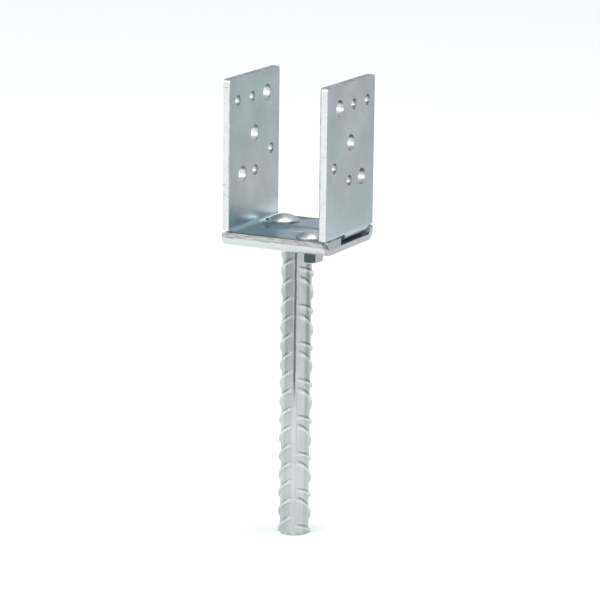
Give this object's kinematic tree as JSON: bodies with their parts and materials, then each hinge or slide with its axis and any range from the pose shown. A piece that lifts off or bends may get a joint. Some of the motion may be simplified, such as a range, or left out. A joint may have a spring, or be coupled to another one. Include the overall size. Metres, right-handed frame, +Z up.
{
  "type": "timber post base",
  "caption": "Adjustable U-shaped steel base for a timber post, with interlocking side plates bolted to a folded tray on a ribbed anchor bar for casting in concrete.",
  "frame": {"origin": "on the bar's axis, at the underside of the tray", "axes": "+Z up along the bar, +X across the post gap from the left plate to the right plate, +Y along the plates from the front to the back"},
  "size_m": [0.075, 0.072, 0.308],
  "materials": {
    "plate_zinc": "bright zinc plated, faintly blue",
    "bar_zinc": "matt pale zinc",
    "weld_zinc": "matt zinc over a weld bead",
    "fastener_zinc": "bright zinc plated"
  },
  "bodies": {
    "base": {"base_tray": "plate_zinc", "ribbed_bar": "bar_zinc", "weld_bead": "weld_zinc", "front_bolt": "fastener_zinc", "back_bolt": "fastener_zinc", "front_nut": "fastener_zinc", "back_nut": "fastener_zinc"},
    "left_plate": {"left_bracket": "plate_zinc"},
    "right_plate": {"right_bracket": "plate_zinc"}
  },
  "joints": [
    {"name": "left_slide", "type": "slide", "parent": "base", "child": "left_plate", "axis": [-1, 0, 0], "range_m": [0, 0.006]},
    {"name": "right_slide", "type": "slide", "parent": "base", "child": "right_plate", "axis": [1, 0, 0], "range_m": [0, 0.006]}
  ]
}
